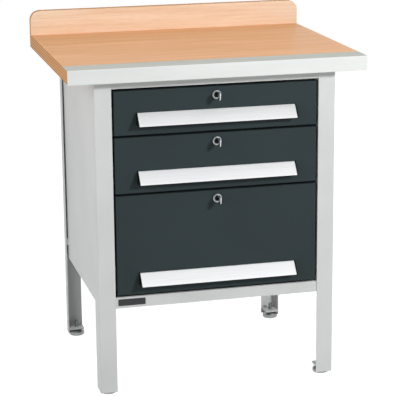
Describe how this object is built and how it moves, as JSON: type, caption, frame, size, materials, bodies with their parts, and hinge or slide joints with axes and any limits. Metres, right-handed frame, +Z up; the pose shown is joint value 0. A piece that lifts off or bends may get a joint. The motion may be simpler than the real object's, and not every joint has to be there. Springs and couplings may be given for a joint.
{
  "type": "box workbench",
  "caption": "Workbench with beech top, rear upstand and metal front edge on folded steel legs, with a carcass of locking drawers on full-extension runners.",
  "frame": {"origin": "on the floor under the middle of the worktop", "axes": "+X along the worktop to the right of someone standing at the drawers, +Y from the drawers to the upstand, +Z up"},
  "size_m": [0.75, 0.6, 0.905],
  "materials": {
    "beech": "lacquered beech, fine grain along the width",
    "edge_metal": "light satin strip",
    "grey_paint": "light grey powder coat",
    "anthracite_paint": "anthracite powder coat, fine texture",
    "tray_paint": "dark powder coat",
    "aluminium": "anodised, satin",
    "chrome": "bright plated",
    "zinc": "zinc plated",
    "foot_steel": "zinc plated, turned",
    "black_plastic": "black, fine matte"
  },
  "bodies": {
    "frame": {"worktop_slab": "beech", "rear_upstand": "beech", "front_edge_strip": "edge_metal", "front_left_leg": "grey_paint", "front_right_leg": "grey_paint", "rear_left_leg": "grey_paint", "rear_right_leg": "grey_paint", "left_side_panel": "grey_paint", "right_side_panel": "grey_paint", "rear_panel": "grey_paint", "bottom_panel": "grey_paint", "left_runner_carrier": "grey_paint", "right_runner_carrier": "grey_paint", "top_front_rail": "grey_paint", "bottom_front_rail": "grey_paint", "upper_traverse": "anthracite_paint", "lower_traverse": "anthracite_paint", "blank_name_plate": "black_plastic", "outer_runners": "zinc", "foot_nut_plates": "grey_paint", "worktop_screws": "zinc", "upstand_screws": "zinc", "rear_panel_screws": "zinc"},
    "upper_drawer": {"upper_drawer_front": "anthracite_paint", "upper_drawer_tray": "tray_paint", "upper_drawer_handle": "aluminium", "upper_drawer_handle_caps": "black_plastic", "upper_drawer_handle_screws": "zinc", "upper_drawer_lock_housing": "chrome", "upper_drawer_lock_nut": "zinc", "upper_drawer_inner_runners": "zinc"},
    "upper_mid_runners": {"upper_drawer_mid_runners": "zinc"},
    "upper_lock": {"upper_drawer_lock_plug": "chrome", "upper_drawer_lock_cam": "zinc"},
    "middle_drawer": {"middle_drawer_front": "anthracite_paint", "middle_drawer_tray": "tray_paint", "middle_drawer_handle": "aluminium", "middle_drawer_handle_caps": "black_plastic", "middle_drawer_handle_screws": "zinc", "middle_drawer_lock_housing": "chrome", "middle_drawer_lock_nut": "zinc", "middle_drawer_inner_runners": "zinc"},
    "middle_mid_runners": {"middle_drawer_mid_runners": "zinc"},
    "middle_lock": {"middle_drawer_lock_plug": "chrome", "middle_drawer_lock_cam": "zinc"},
    "lower_drawer": {"lower_drawer_front": "anthracite_paint", "lower_drawer_tray": "tray_paint", "lower_drawer_handle": "aluminium", "lower_drawer_handle_caps": "black_plastic", "lower_drawer_handle_screws": "zinc", "lower_drawer_lock_housing": "chrome", "lower_drawer_lock_nut": "zinc", "lower_drawer_inner_runners": "zinc"},
    "lower_mid_runners": {"lower_drawer_mid_runners": "zinc"},
    "lower_lock": {"lower_drawer_lock_plug": "chrome", "lower_drawer_lock_cam": "zinc"},
    "front_left_foot": {"front_left_foot": "foot_steel"},
    "front_right_foot": {"front_right_foot": "foot_steel"},
    "rear_left_foot": {"rear_left_foot": "foot_steel"},
    "rear_right_foot": {"rear_right_foot": "foot_steel"}
  },
  "joints": [
    {"name": "upper_drawer_slide", "type": "slide", "parent": "frame", "child": "upper_drawer", "axis": [0, -1, 0], "range_m": [0, 0.45]},
    {"name": "upper_mid_runner_slide", "type": "slide", "parent": "frame", "child": "upper_mid_runners", "axis": [0, -1, 0], "range_m": [0, 0.225]},
    {"name": "upper_lock_turn", "type": "hinge", "parent": "upper_drawer", "child": "upper_lock", "pos_m": [0, -0.26, 0.756], "axis": [0, -1, 0], "range_deg": [0, 90]},
    {"name": "middle_drawer_slide", "type": "slide", "parent": "frame", "child": "middle_drawer", "axis": [0, -1, 0], "range_m": [0, 0.45]},
    {"name": "middle_mid_runner_slide", "type": "slide", "parent": "frame", "child": "middle_mid_runners", "axis": [0, -1, 0], "range_m": [0, 0.225]},
    {"name": "middle_lock_turn", "type": "hinge", "parent": "middle_drawer", "child": "middle_lock", "pos_m": [0, -0.26, 0.64], "axis": [0, -1, 0], "range_deg": [0, 90]},
    {"name": "lower_drawer_slide", "type": "slide", "parent": "frame", "child": "lower_drawer", "axis": [0, -1, 0], "range_m": [0, 0.45]},
    {"name": "lower_mid_runner_slide", "type": "slide", "parent": "frame", "child": "lower_mid_runners", "axis": [0, -1, 0], "range_m": [0, 0.225]},
    {"name": "lower_lock_turn", "type": "hinge", "parent": "lower_drawer", "child": "lower_lock", "pos_m": [0, -0.26, 0.494], "axis": [0, -1, 0], "range_deg": [0, 90]},
    {"name": "front_left_foot_screw", "type": "slide", "parent": "frame", "child": "front_left_foot", "axis": [0, 0, -1], "range_m": [0, 0.015]},
    {"name": "front_right_foot_screw", "type": "slide", "parent": "frame", "child": "front_right_foot", "axis": [0, 0, -1], "range_m": [0, 0.015]},
    {"name": "rear_left_foot_screw", "type": "slide", "parent": "frame", "child": "rear_left_foot", "axis": [0, 0, -1], "range_m": [0, 0.015]},
    {"name": "rear_right_foot_screw", "type": "slide", "parent": "frame", "child": "rear_right_foot", "axis": [0, 0, -1], "range_m": [0, 0.015]}
  ],
  "couplings": [
    {"joint": "upper_mid_runner_slide", "follows": "upper_drawer_slide", "ratio": 0.5},
    {"joint": "middle_mid_runner_slide", "follows": "middle_drawer_slide", "ratio": 0.5},
    {"joint": "lower_mid_runner_slide", "follows": "lower_drawer_slide", "ratio": 0.5}
  ]
}
